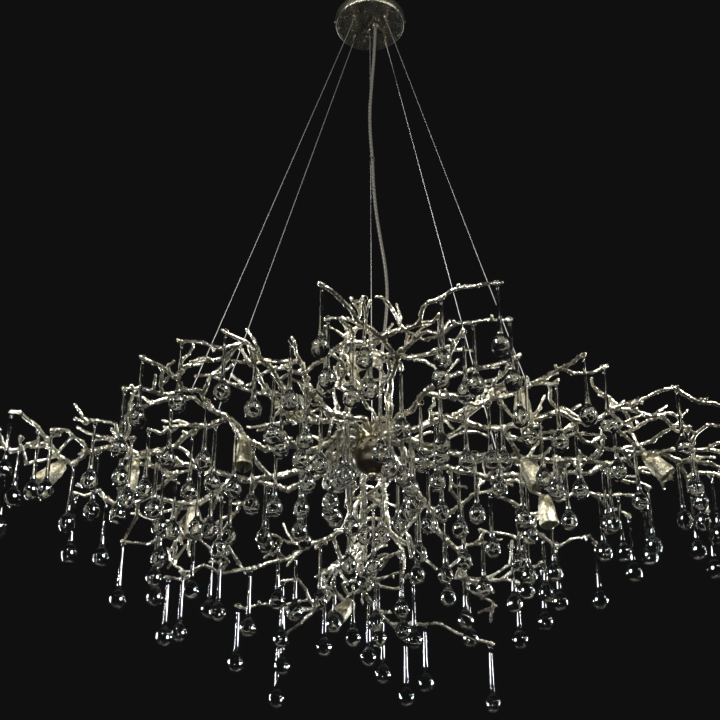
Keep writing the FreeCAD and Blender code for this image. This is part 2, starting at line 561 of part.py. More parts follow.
candidates = []
for name, twigs in twigs_of.items():
    for path in twigs:
        (a, ra), (b, rb) = path[-2:]
        length = (b - a).Length
        tip = station(a, b, ra, rb, 1 - tip_inset / length)
        if tip:
            candidates.append((0, name, tip))
        for (a, ra), (b, rb) in zip(path, path[1:]):
            length = (b - a).Length
            if length > long_segment:
                middle = station(a, b, ra, rb, 0.5)
                if middle:
                    candidates.append((1, name, middle))

candidates.sort(key=lambda item: item[0])
swinging = []
hanging = []
taken = []
outward = sorted([item for item in candidates if item[0] == 0 and math.degrees(item[2]["slope"]) < 22],
                 key=lambda item: -math.hypot(item[2]["pivot"].x / 730, item[2]["pivot"].y / 420))
fan = [-swing_degrees, -swing_degrees / 2, 0, swing_degrees / 2, swing_degrees]
for order, name, place in outward:
    lonely = all((place["pivot"] - other["pivot"]).Length > swinging_apart for other in swinging)
    if lonely and len(swinging) < swinging_count and is_clear(place, still_things + taken, fan):
        swinging.append(place)
        for degrees in fan:
            taken += drop_bars(place, degrees)
for order, name, place in candidates:
    if place not in swinging and is_clear(place, still_things + taken, [0]):
        hanging.append(place)
        taken += drop_bars(place, 0)
print("swinging drops", len(swinging), "hanging drops", len(hanging))


# ---------------------------------------------------------------- hub
disc_bottom = hub_disc_top - hub_disc_height
hub_disc = turned([(0, 0), (hub_disc_radius, 0), (hub_disc_radius, hub_disc_height),
                   (hub_disc_radius - 6, hub_disc_height + 4), (0, hub_disc_height + 4)],
                  Vector(0, 0, disc_bottom), up)
rod_hole = Part.makeCylinder(3.0, 20, Vector(0, 0, disc_bottom - 8))
hub_disc = hub_disc.cut(Part.makeCylinder(cable_diameter / 2 + 1.2, 60, Vector(14, 12.2, disc_bottom - 10)))
hub_disc = hub_disc.cut(rod_hole)

eye_shank = Part.makeCylinder(1.6, 6, Vector(0, 0, hub_disc_top + 4))
hub_eye = eye_shank.fuse(ring(hub_eye_centre + up * 6.5, Vector(0, 1, 0), 4.5, 1.4))

# Cone-shaped collar with round holes, between the disc and the bowl.
collar_drop = disc_bottom - bowl_rim
collar = turned([(24.5, 0), (26, 0), (bowl_radius - 2, -collar_drop), (bowl_radius - 3.5, -collar_drop)],
                Vector(0, 0, disc_bottom), up)
for number in range(10):
    bearing = 36 * number + 12
    start = around(20, bearing, disc_bottom - collar_drop / 2)
    collar = collar.cut(Part.makeCylinder(3.6, 24, start, around(1, bearing, 0.25)))


# Half-ellipse bowl wall: an outer and an inner arc turned about the axis.
def bowl_wall(radius, depth, thickness):
    def cup_arc(r, d):
        centre = (d * d - r * r) / (2 * d)
        reach = r * r / (2 * d) + d / 2
        angle = math.atan2(r, -centre) / 2 if centre < 0 else math.asin(min(1, r / reach)) / 2
        middle = Vector(reach * math.sin(angle), 0, reach - d - reach * math.cos(angle))
        return Part.Arc(Vector(r, 0, 0), middle, Vector(0, 0, -d)).toShape()
    outer, inner = cup_arc(radius, depth), cup_arc(radius - thickness, depth - thickness)
    rim = Part.makeLine(Vector(radius - thickness, 0, 0), Vector(radius, 0, 0))
    axis = Part.makeLine(Vector(0, 0, -depth), Vector(0, 0, thickness - depth))
    face = Part.Face(Part.Wire(Part.__sortEdges__([outer, inner, rim, axis])))
    solid = face.revolve(Vector(0, 0, 0), up, 360)
    solid.translate(up * bowl_rim)
    return solid


bowl = bowl_wall(bowl_radius, bowl_depth, 1.6)
bowl = bowl.cut(Part.makeCylinder(3.0, 20, Vector(0, 0, bowl_rim - bowl_depth - 8)))
bowl_bottom = bowl_rim - bowl_depth
rod = Part.makeCylinder(3.0, disc_bottom + 12 - (bowl_bottom - 8), Vector(0, 0, bowl_bottom - 8))
finial = Part.makeSphere(finial_radius, Vector(0, 0, bowl_bottom - finial_radius + 1.2))
finial = finial.cut(Part.makeBox(40, 40, 20, Vector(-20, -20, bowl_bottom)))
finial = finial.cut(Part.makeCylinder(3.0, 8, Vector(0, 0, bowl_bottom - 8)))
hub_nut = Part.makeCylinder(7, 5, Vector(0, 0, disc_bottom - 5)).cut(rod)
bowl_nut = Part.makeCylinder(6, 4, Vector(0, 0, bowl_bottom + 2.3)).cut(rod)

hub_screws = []
for bearing in [245, 5, 125]:
    out = around(1, bearing, 0)
    start = around(bowl_radius - 5.2, bearing, bowl_rim - 6)
    shank = Part.makeCylinder(1.6, 7, start, out)
    bowl = bowl.cut(Part.makeCylinder(1.6, 12, start - out * 3, out))
    head = Part.makeCylinder(3.0, 3.4, start + out * 6.2, out)
    hub_screws.append(shank.fuse(head))
strip = Part.makeBox(16, 12, 12, Vector(-26, -6, bowl_rim - 8))
for number in range(3):
    strip = strip.cut(Part.makeCylinder(1.4, 8, Vector(-23 + 5 * number, 0, bowl_rim - 2)))
bridge = Part.makeBox(19.1, 8, 2, Vector(-23.5, -4, bowl_rim - 10)).fuse(
    Part.makeBox(2.6, 8, 20, Vector(-7, -4, bowl_rim - 10)))

# ---------------------------------------------------------------- canopy
canopy = turned([(0, -canopy_height), (canopy_radius - rim_width - 1, -canopy_height),
                 (canopy_radius - rim_width, -canopy_height - 1), (canopy_radius - 4, -canopy_height - 0.5),
                 (canopy_radius, -canopy_height + 6), (canopy_radius, -1), (canopy_radius - canopy_wall, -1),
                 (canopy_radius - canopy_wall, -canopy_height + 6.6), (canopy_radius - 5, -canopy_height + 1.5),
                 (0, -canopy_height + canopy_wall)], Vector(0, 0, 0), up)
gland_place = Vector(12, -4.2, -canopy_height)
canopy = canopy.cut(Part.makeCylinder(6.0, 8, gland_place - up * 3))

strap_half = canopy_radius - 4.5
bracket = Part.makeBox(2 * strap_half, 24, bracket_thickness, Vector(-strap_half, -12, -bracket_thickness))
for side in [-1, 1]:
    ear = Part.makeBox(bracket_thickness, 24, 18, Vector(-bracket_thickness / 2, -12, -18))
    ear.translate(Vector(side * (strap_half - bracket_thickness / 2), 0, 0))
    bracket = bracket.fuse(ear)
for side in [-1, 1]:
    bracket = bracket.cut(Part.makeCylinder(2.6, 10, Vector(side * bracket_hole_spacing / 2, 0, -6)))
bracket = bracket.removeSplitter()
side_screws = []
for side in [-1, 1]:
    inner = Vector(side * (strap_half - 5), 0, -12)
    out = Vector(side, 0, 0)
    shank = Part.makeCylinder(1.9, canopy_radius + 0.2 - strap_half + 5, inner, out)
    bore = Part.makeCylinder(1.9, 20, inner, out)
    bracket, canopy = bracket.cut(bore), canopy.cut(bore)
    side_screws.append(shank.fuse(Part.makeCylinder(4, 2.6, Vector(side * (canopy_radius + 0.1), 0, -12), out)))
block = Part.makeBox(30, 14, 12, Vector(-3, -11, -bracket_thickness - 12))
for number in range(3):
    block = block.cut(Part.makeCylinder(1.7, 6, Vector(2 + 10 * number, -11, -8), Vector(0, 1, 0)))

gland = turned([(cable_diameter / 2, 3), (5.9, 3), (5.9, -1), (8.5, -1), (8.5, -4), (7.4, -9), (5, -12),
                (cable_diameter / 2, -12)], gland_place, up)

# ---------------------------------------------------------------- grippers
# A collar under the canopy, a body that hangs along its wire and a spring plunger at its lower end
# that frees the wire when it is pushed in.
collars, bodies, plungers = [], [], []
for (top, low), (start, end) in zip(wires, wire_lines):
    along = (end - start).normalize()
    seat = start + along * (-9.5 / along.z)
    through = Part.makeCylinder(wire_diameter / 2 + 0.35, 60, seat - along * 20, along)
    canopy = canopy.cut(Part.makeCylinder(3.4, 10, seat - along * 2, -along))
    collar_shape = Part.makeCylinder(7, 5, seat - up * 0.5).cut(Part.makeSphere(gripper_radius + 0.4, seat, along))
    collars.append(collar_shape.cut(Part.makeCylinder(3.2, 20, seat - along * 2, -along)))
    body = Part.makeSphere(gripper_radius + 0.2, seat, along).fuse(
        Part.makeCylinder(gripper_radius, gripper_length, seat, along))
    chamber = Part.makeCylinder(2.9, 12, seat + along * (gripper_length - 11), along)
    bodies.append(body.cut(chamber).cut(through))
    nose = Part.makeCylinder(2.4, 13.5, seat + along * (gripper_length - 7.5), along)
    plungers.append(nose.cut(through))

# ---------------------------------------------------------------- cable clip
# A bead that ties the cable to the middle wire.
clip_at = Vector(*cable_route[6])
clip_way = (Vector(*cable_route[7]) - clip_at).normalize()
wire_start, wire_end = wire_lines[4]
wire_way = (wire_end - wire_start).normalize()
wire_spot = wire_start + wire_way * ((clip_at.z - wire_start.z) / wire_way.z)
clip = Part.makeCylinder(cable_diameter / 2 + 1.6, 10, clip_at - clip_way * 5, clip_way)
clip = clip.fuse(Part.makeCylinder(2.4, 10, wire_spot - wire_way * 5, wire_way))
bridge_way = (wire_spot - clip_at).normalize()
clip = clip.fuse(Part.makeCylinder(2.4, (wire_spot - clip_at).Length, clip_at, bridge_way))
clip = clip.cut(Part.makeCylinder(wire_diameter / 2, 20, wire_spot - wire_way * 10, wire_way))

# ---------------------------------------------------------------- drops
drop = turned([(0, neck_end - 9), (0, -3.4), (2.3, -3.4), (3.0, -12), (drop_neck_radius, -60), (4.2, -76),
               (5.6, -90), (7.8, -101), (10.4, neck_end - 9)], Vector(0, 0, 0), up)
drop = drop.fuse(Part.makeSphere(drop_radius, Vector(0, 0, bulb_level)))
drop = drop.fuse(ring(Vector(0, 0, 0), Vector(1, 0, 0), loop_radius, loop_wire))


def hung(place):
    solid = drop.copy()
    turn = FreeCAD.Rotation(Vector(1, 0, 0), place["axle"])
    solid.Placement = FreeCAD.Placement(place["pivot"] - up * loop_drop, turn)
    return solid


def cup_part(cup, outline):
    base, toward = cup_place(cup)
    return turned(outline, base, toward)


# ---------------------------------------------------------------- export
for name in arms:
    arm = arm_solid(name)
    for cup in cups:
        if cup[0] == name:
            arm = max(arm.cut(cup_part(cup, cup_envelope)).Solids, key=lambda solid: solid.Volume)
    save(name, [arm])

save("ceiling_bracket", [bracket])
save("canopy", [canopy])
save("canopy_side_screws", side_screws)
save("terminal_block", [block])
save("gripper_collars", collars)
save("gripper_bodies", bodies)
for number, plunger in enumerate(plungers, 1):
    save("gripper_plunger_%d" % number, [plunger])
save("suspension_wires", [tube(a, b, wire_diameter / 2) for a, b in wire_lines])
save("wire_eyes", wire_eyes)
cable = bent_tube(cable_route, cable_diameter / 2)
save("power_cable", [cable])
save("cable_gland", [gland.cut(cable)])
save("cable_clip", [clip.cut(cable)])
save("hub_disc", [hub_disc])
save("hub_eye", [hub_eye])
save("hub_collar", [collar])
save("hub_bowl", [bowl])
save("hub_rod", [rod])
save("hub_nuts", [hub_nut, bowl_nut])
save("hub_finial", [finial])
save("hub_screws", hub_screws)
save("hub_terminal", [strip])
save("hub_terminal_bracket", [bridge])
save("lamp_cups", [cup_part(cup, cup_outline) for cup in cups])
save("lampholders", [cup_part(cup, holder_outline) for cup in cups])
save("lamps", [cup_part(cup, lamp_outline) for cup in cups])
save("drop_rings", [ring(place["ring"][0], place["ring"][1], place["ring"][2], ring_wire)
                    for place in swinging + hanging])
for number, place in enumerate(swinging, 1):
    save("swing_drop_%02d" % number, [hung(place)])
    print("pivot", [round(c, 3) for c in place["pivot"]], "axle", [round(c, 5) for c in place["axle"]])
thirds = {"drops_left": (-900, -230), "drops_middle": (-230, 230), "drops_right": (230, 900)}
for name, (low, high) in thirds.items():
    save(name, [hung(place) for place in hanging if low <= place["pivot"].x < high])
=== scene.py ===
import math
import random

import bpy
from mathutils import Matrix, Vector
from mathutils.bvhtree import BVHTree


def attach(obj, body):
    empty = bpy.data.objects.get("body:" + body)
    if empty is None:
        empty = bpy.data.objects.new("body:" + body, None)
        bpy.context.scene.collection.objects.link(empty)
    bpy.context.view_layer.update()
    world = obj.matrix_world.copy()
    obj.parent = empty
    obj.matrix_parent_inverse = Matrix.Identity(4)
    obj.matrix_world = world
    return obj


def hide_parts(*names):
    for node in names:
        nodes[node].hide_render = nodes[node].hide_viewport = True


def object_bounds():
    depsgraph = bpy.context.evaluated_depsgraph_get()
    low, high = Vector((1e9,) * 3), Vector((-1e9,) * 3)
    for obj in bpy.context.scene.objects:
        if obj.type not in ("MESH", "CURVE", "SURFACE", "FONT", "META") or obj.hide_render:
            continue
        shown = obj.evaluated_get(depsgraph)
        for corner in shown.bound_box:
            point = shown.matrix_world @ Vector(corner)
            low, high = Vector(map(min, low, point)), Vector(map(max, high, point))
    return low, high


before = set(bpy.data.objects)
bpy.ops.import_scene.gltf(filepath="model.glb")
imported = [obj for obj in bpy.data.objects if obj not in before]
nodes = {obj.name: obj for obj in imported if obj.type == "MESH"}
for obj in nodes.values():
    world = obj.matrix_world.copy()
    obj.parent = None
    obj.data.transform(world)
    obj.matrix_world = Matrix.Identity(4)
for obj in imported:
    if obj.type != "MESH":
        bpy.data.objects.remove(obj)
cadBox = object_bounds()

mm = 0.001


def deselectAll():
    if bpy.context.object and bpy.context.object.mode != "OBJECT":
        bpy.ops.object.mode_set(mode="OBJECT")
    bpy.ops.object.select_all(action="DESELECT")


def makeActive(piece):
    deselectAll()
    piece.select_set(True)
    bpy.context.view_layer.objects.active = piece


def copyOf(piece, name):
    twin = piece.copy()
    twin.data = piece.data.copy()
    twin.name = name
    twin.parent = None
    twin.matrix_world = Matrix.Identity(4)
    twin.hide_render = twin.hide_viewport = False
    bpy.context.collection.objects.link(twin)
    return twin


def settle(piece):  # puts a piece's place into its mesh
    makeActive(piece)
    bpy.ops.object.transform_apply(location=True, rotation=True, scale=True)
    return piece


def joinAll(parts, name):
    deselectAll()
    for part in parts:
        part.select_set(True)
    bpy.context.view_layer.objects.active = parts[0]
    bpy.ops.object.join()
    whole = bpy.context.object
    whole.name = name
    return settle(whole)


def addModifier(piece, kind, settings):
    modifier = piece.modifiers.new(kind.lower(), kind)
    for key, value in settings.items():
        setattr(modifier, key, value)


def applyAll(piece):
    makeActive(piece)
    for modifier in list(piece.modifiers):
        bpy.ops.object.modifier_apply(modifier=modifier.name)


def smoothAll(piece):
    makeActive(piece)
    bpy.ops.object.shade_smooth()


def reliefTexture(name, kind, size, **settings):  # size of its cells in mm
    texture = bpy.data.textures.new(name, kind)
    texture.noise_scale = size * mm
    for key, value in settings.items():
        setattr(texture, key, value)
    return texture


# A turned piece is a circle, extruded and resized from ring to ring: (radius, height, sidestep) in mm.
def turnedPiece(name, rings, segments):
    deselectAll()
    radius, height, sideways = rings[0]
    bpy.ops.mesh.primitive_circle_add(vertices=segments, radius=radius * mm,
                                      location=(sideways * mm, 0, height * mm))
    piece = bpy.context.object
    piece.name = name
    bpy.ops.object.mode_set(mode="EDIT")
    bpy.ops.mesh.select_all(action="SELECT")
    for nextRadius, nextHeight, nextSideways in rings[1:]:
        step = ((nextSideways - sideways) * mm, 0, (nextHeight - height) * mm)
        bpy.ops.mesh.extrude_region_move(TRANSFORM_OT_translate={"value": step})
        bpy.ops.transform.resize(value=(nextRadius / radius, nextRadius / radius, 1))
        radius, height, sideways = nextRadius, nextHeight, nextSideways
    bpy.ops.mesh.select_all(action="SELECT")
    bpy.ops.mesh.fill_holes(sides=0)
    bpy.ops.mesh.normals_make_consistent(inside=False)
    bpy.ops.object.mode_set(mode="OBJECT")
    return settle(piece)


# The points of each separate solid of a CAD node.
def solidsOf(name):
    twin = copyOf(nodes[name], "apart")
    makeActive(twin)
    bpy.ops.object.mode_set(mode="EDIT")
    bpy.ops.mesh.select_all(action="SELECT")
    bpy.ops.mesh.remove_doubles(threshold=1e-6)
    bpy.ops.mesh.separate(type="LOOSE")
    bpy.ops.object.mode_set(mode="OBJECT")
    apart = list(bpy.context.selected_objects)
    found = [[v.co.copy() for v in part.data.vertices] for part in apart]
    for part in apart:
        bpy.data.objects.remove(part)
    return found


def middleOf(points):
    low = Vector([min(p[i] for p in points) for i in range(3)])
    high = Vector([max(p[i] for p in points) for i in range(3)])
    return (low + high) / 2, low, high


def addNode(tree, kind, settings=None, links=None):
    node = tree.nodes.new(kind)
    for key, value in (settings or {}).items():
        if key == "stops":
            band = node.color_ramp.elements
            for position, colour in value[2:]:
                band.new(position)
            for mark, (position, colour) in zip(band, value):
                mark.position, mark.color = position, colour
        elif isinstance(key, int) or key in node.inputs:
            node.inputs[key].default_value = value
        else:
            setattr(node, key, value)
    for key, (source, output) in (links or {}).items():
        tree.links.new(source.outputs[output], node.inputs[key])
    return node


def hexColour(code):
    parts = [int(code[i:i + 2], 16) / 255 for i in (1, 3, 5)]
    return [c / 12.92 if c <= 0.04045 else ((c + 0.055) / 1.055) ** 2.4 for c in parts] + [1.0]


def grey(value):
    return (value, value, value, 1)


def startMaterial(name):
    material = bpy.data.materials.new(name)
    material.use_nodes = True
    material.node_tree.nodes.clear()
    return material, material.node_tree


def give(piece, material):
    piece.data.materials.clear()
    piece.data.materials.append(material)


# The camera stands low in the room and looks up.
camera = {"eye": (-0.023, -2.700, -2.854), "pitchUp": 35, "lens": 83.3, "sensor": 36}

deselectAll()
bpy.ops.object.camera_add(location=camera["eye"], rotation=(math.radians(90 + camera["pitchUp"]), 0, 0))
view = bpy.context.object
view.data.lens = camera["lens"]
view.data.sensor_width = camera["sensor"]
view.data.clip_start, view.data.clip_end = 0.05, 60
bpy.context.scene.camera = view
print("camera stands")


# The power cable runs slack from the gland to the hub, in a clear sheath over tinned strands.
powerCable = {
    "diameter": 7.0,
    "route": [
        (12, -4, -17), (11.5, -6, -70), (8, -5, -140), (3, -6, -215), (-2, -5, -300), (-0.5, -6, -375),
        (4, -5, -440), (5, -6, -510), (11, -5, -590), (20, -6, -665), (30, -5, -740), (33, -6, -815),
        (27, -4, -890), (19, -2, -960), (17, 4, -1030), (15.5, 11, -1085), (14, 12, -1128), (14, 12.5, -1166),
    ],
    "length": 1.16, "strand": 5, "strandDark": "#4c4b47", "strandLight": "#5f5e58",
}


def cableMaterial():  # clear PVC over tinned copper: a glossy grey cord with a faint twist inside
    material, tree = startMaterial("clearPvcOverTinnedStrands")
    place = addNode(tree, "ShaderNodeTexCoord")
    strands = addNode(tree, "ShaderNodeTexWave",
                      {"wave_type": "BANDS", "bands_direction": "DIAGONAL",
                       "Scale": 0.3 / (powerCable["strand"] * mm), "Distortion": 0.4, "Detail": 1.0},
                      {"Vector": (place, "Object")})
    tone = addNode(tree, "ShaderNodeValToRGB", {"stops": [(0.2, hexColour(powerCable["strandDark"])),
                                                          (0.8, hexColour(powerCable["strandLight"]))]},
                   {"Fac": (strands, "Fac")})
    shader = addNode(tree, "ShaderNodeBsdfPrincipled",
                     {"Metallic": 0.35, "Roughness": 0.35, "Coat Weight": 1.0, "Coat Roughness": 0.1},
                     {"Base Color": (tone, "Color")})
    addNode(tree, "ShaderNodeOutputMaterial", links={"Surface": (shader, "BSDF")})
    return material


def makeCable():
    curve = bpy.data.curves.new("powerCableLine", "CURVE")
    curve.dimensions = "3D"
    curve.bevel_depth = powerCable["diameter"] / 2 * mm
    curve.bevel_resolution = 6
    curve.resolution_u = 10
    curve.use_fill_caps = True
    spline = curve.splines.new("NURBS")
    spline.points.add(len(powerCable["route"]) - 1)
    for point, (x, y, z) in zip(spline.points, powerCable["route"]):
        point.co = (x * mm, y * mm, z * mm, 1)
    spline.order_u = 3
    spline.use_endpoint_u = True
    cable = bpy.data.objects.new("power_cable_sheath", curve)
    bpy.context.collection.objects.link(cable)
    cable.data.materials.append(cableMaterial())
    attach(cable, "fixture")
    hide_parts("power_cable")


makeCable()
print("cable hangs")


# Metal leaf laid by hand on rough cast metal. Patches of 34 mm let gold show through, crinkles of 9 mm break the
# highlights, and a grain of 2.6 mm, drawn coarser than the real one, makes them sparkle. The hollows get painted
# shade.
silverLeaf = {
    "bright": "#fbf8ec", "dull": "#c6c3b1", "gold": "#b9af78", "hollowShade": "#2b2920",
    "patch": 34, "crinkle": 9, "grain": 2.6, "crinkleDepth": 0.8, "grainDepth": 0.2,
    "smooth": 0.2, "rough": 0.36,
}
silverBark = {**silverLeaf, "bright": "#dedac6", "dull": "#8d8a74", "crinkle": 4.5, "grain": 1.8, "patch": 24,
              "crinkleDepth": 1.8, "smooth": 0.3, "rough": 0.5}
# the canopy's leaf: a dark aged tone, made darker still as painted shade because the canopy is weakly lit
agedAndShadedRelief = {**silverLeaf, "bright": "#85847a", "dull": "#4d4c45", "gold": "#55534a", "hollowShade": "#1c1c19",
              "crinkle": 4, "grain": 3, "patch": 20, "crinkleDepth": 1.3, "smooth": 0.26, "rough": 0.46}
agedHub = {**silverLeaf, "bright": "#b9b5a2", "dull": "#79755f", "hollowShade": "#2c2a20"}


def leafMaterial(name, look):
    material, tree = startMaterial(name)
    place = addNode(tree, "ShaderNodeTexCoord")
    patches = addNode(tree, "ShaderNodeTexNoise", {"Scale": 1 / (look["patch"] * mm), "Detail": 4.0},
                      {"Vector": (place, "Object")})
    crinkles = addNode(tree, "ShaderNodeTexNoise",
                       {"Scale": 1 / (look["crinkle"] * mm), "Detail": 4.0, "Roughness": 0.62},
                       {"Vector": (place, "Object")})
    grain = addNode(tree, "ShaderNodeTexVoronoi", {"feature": "F1", "Scale": 1 / (look["grain"] * mm)},
                    {"Vector": (place, "Object")})
    leafTone = addNode(tree, "ShaderNodeValToRGB", {"stops": [(0.36, hexColour(look["dull"])),
                                                              (0.56, hexColour(look["bright"]))]},
                       {"Fac": (crinkles, "Fac")})
    goldShare = addNode(tree, "ShaderNodeValToRGB", {"stops": [(0.58, grey(0)), (0.76, grey(0.7))]},
                        {"Fac": (patches, "Fac")})
    tinted = addNode(tree, "ShaderNodeMix", {"data_type": "RGBA", 7: hexColour(look["gold"])},
                     {0: (goldShare, "Color"), 6: (leafTone, "Color")})
    # painted shade: where Pointiness is low, in creases and hollows, the colour is mixed towards a dark shade tone
    hollows = addNode(tree, "ShaderNodeNewGeometry")
    hollowShadeMask = addNode(tree, "ShaderNodeValToRGB", {"stops": [(0.42, grey(0.8)), (0.5, grey(0))]},
                   {"Fac": (hollows, "Pointiness")})
    leafWithPaintedShade = addNode(tree, "ShaderNodeMix", {"data_type": "RGBA", 7: hexColour(look["hollowShade"])},
                   {0: (hollowShadeMask, "Color"), 6: (tinted, 2)})
    sheen = addNode(tree, "ShaderNodeValToRGB", {"stops": [(0.35, grey(look["rough"])),
                                                           (0.62, grey(look["smooth"]))]},
                    {"Fac": (crinkles, "Fac")})
    folds = addNode(tree, "ShaderNodeBump", {"Distance": look["crinkleDepth"] * mm},
                    {"Height": (crinkles, "Fac")})
    pits = addNode(tree, "ShaderNodeBump", {"Distance": look["grainDepth"] * mm},
                   {"Height": (grain, "Distance"), "Normal": (folds, "Normal")})
    shader = addNode(tree, "ShaderNodeBsdfPrincipled", {"Metallic": 1.0},
                     {"Base Color": (leafWithPaintedShade, 2), "Roughness": (sheen, "Color"), "Normal": (pits, "Normal")})
    addNode(tree, "ShaderNodeOutputMaterial", links={"Surface": (shader, "BSDF")})
    return material


# Smooth plated metal: patches of the given width in mm cloud the sheen, and small marks soften it.
def workedMetal(name, light, dark, roughness, patch, mark):
    material, tree = startMaterial(name)
    place = addNode(tree, "ShaderNodeTexCoord")
    patches = addNode(tree, "ShaderNodeTexNoise", {"Scale": 1 / (patch * mm), "Detail": 4.0},
                      {"Vector": (place, "Object")})
    marks = addNode(tree, "ShaderNodeTexNoise", {"Scale": 1 / (mark * mm), "Detail": 2.0},
                    {"Vector": (place, "Object")})
    tone = addNode(tree, "ShaderNodeValToRGB", {"stops": [(0.3, hexColour(dark)), (0.7, hexColour(light))]},
                   {"Fac": (patches, "Fac")})
    sheen = addNode(tree, "ShaderNodeValToRGB", {"stops": [(0.3, grey(roughness * 0.8)),
                                                           (0.7, grey(roughness * 1.25))]},
                    {"Fac": (marks, "Fac")})
    wear = addNode(tree, "ShaderNodeBump", {"Distance": 0.03 * mm}, {"Height": (marks, "Fac")})
    shader = addNode(tree, "ShaderNodeBsdfPrincipled", {"Metallic": 1.0},
                     {"Base Color": (tone, "Color"), "Roughness": (sheen, "Color"), "Normal": (wear, "Normal")})
    addNode(tree, "ShaderNodeOutputMaterial", links={"Surface": (shader, "BSDF")})
    return material


# Turned or drawn metal: lines of the given pitch in mm run round the axis and draw the highlight out.
def turnedMetal(name, light, dark, roughness, line):
    material, tree = startMaterial(name)
    place = addNode(tree, "ShaderNodeTexCoord")
    stretched = addNode(tree, "ShaderNodeMapping", {"Scale": (1 / (30 * mm), 1 / (30 * mm), 1 / (line * mm))},
                        {"Vector": (place, "Object")})
    streaks = addNode(tree, "ShaderNodeTexNoise", {"Scale": 1.0, "Detail": 3.0}, {"Vector": (stretched, "Vector")})
    tone = addNode(tree, "ShaderNodeValToRGB", {"stops": [(0.3, hexColour(dark)), (0.7, hexColour(light))]},
                   {"Fac": (streaks, "Fac")})
    ridges = addNode(tree, "ShaderNodeBump", {"Distance": 0.05 * mm}, {"Height": (streaks, "Fac")})
    shader = addNode(tree, "ShaderNodeBsdfPrincipled", {"Metallic": 1.0, "Roughness": roughness},
                     {"Base Color": (tone, "Color"), "Normal": (ridges, "Normal")})
    addNode(tree, "ShaderNodeOutputMaterial", links={"Surface": (shader, "BSDF")})
    return material


# Moulded nylon or glazed ceramic: specks of the given width in mm keep the pale surface from looking flat.
def denseMaterial(name, light, dark, roughness, speck):
    material, tree = startMaterial(name)
    place = addNode(tree, "ShaderNodeTexCoord")
    specks = addNode(tree, "ShaderNodeTexNoise", {"Scale": 1 / (speck * mm), "Detail": 4.0},
                     {"Vector": (place, "Object")})
    tone = addNode(tree, "ShaderNodeValToRGB", {"stops": [(0.35, hexColour(dark)), (0.65, hexColour(light))]},
                   {"Fac": (specks, "Fac")})
    skin = addNode(tree, "ShaderNodeBump", {"Distance": 0.04 * mm}, {"Height": (specks, "Fac")})
    shader = addNode(tree, "ShaderNodeBsdfPrincipled", {"Roughness": roughness},
                     {"Base Color": (tone, "Color"), "Normal": (skin, "Normal")})
    addNode(tree, "ShaderNodeOutputMaterial", links={"Surface": (shader, "BSDF")})
    return material


# Clear glass drawn by hand: polished, with slow waves, in mm, that bend what is seen through it.
def glassMaterial(name, tint, wave, waveDepth):
    material, tree = startMaterial(name)
    place = addNode(tree, "ShaderNodeTexCoord")
    waves = addNode(tree, "ShaderNodeTexNoise", {"Scale": 1 / (wave * mm), "Detail": 2.0},
                    {"Vector": (place, "Object")})
    tone = addNode(tree, "ShaderNodeValToRGB", {"stops": [(0.3, hexColour(tint)), (0.7, hexColour("#ffffff"))]},
                   {"Fac": (waves, "Fac")})
    skin = addNode(tree, "ShaderNodeBump", {"Distance": waveDepth * mm}, {"Height": (waves, "Fac")})
    shader = addNode(tree, "ShaderNodeBsdfPrincipled", {"Roughness": 0.0, "IOR": 1.5, "Transmission Weight": 1.0},
                     {"Base Color": (tone, "Color"), "Normal": (skin, "Normal")})
    addNode(tree, "ShaderNodeOutputMaterial", links={"Surface": (shader, "BSDF")})
    return material


leafOnBranches = leafMaterial("champagneSilverLeaf", silverLeaf)
leafOnCups = leafMaterial("granularSilverLeaf", silverBark)
darkRelief = leafMaterial("agedAndShadedChasedSilver", agedAndShadedRelief)
agedSilver = leafMaterial("agedSilverLeaf", agedHub)
zincPlate = workedMetal("zincPlatedSteel", "#c3c6c8", "#9ea2a5", 0.42, 18, 1.5)
nickelScrew = workedMetal("nickelPlatedBrass", "#cfc8b8", "#a8a193", 0.24, 9, 0.8)
steelWire = turnedMetal("drawnSteelWire", "#a9acae", "#8a8d8f", 0.42, 0.6)
brushedCollar = turnedMetal("turnedPaleNickel", "#d9d3c2", "#aaa28e", 0.34, 0.5)
darkBowl = turnedMetal("satinBronzePlate", "#8b8273", "#6a6256", 0.36, 0.7)
brightBall = turnedMetal("polishedBronzePlate", "#cfc7b3", "#a59d89", 0.22, 0.7)
terminalNylon = denseMaterial("mouldedNylon", "#e8e6df", "#dcd9d0", 0.5, 0.8)
holderCeramic = denseMaterial("glazedCeramic", "#efece4", "#e2ded3", 0.28, 1.2)
lampGlass = glassMaterial("lampQuartz", "#f4f4f0", 6, 0.05)
clearGlass = glassMaterial("drawnClearGlass", "#d6dbd9", 12, 0.1)
print("materials are mixed")


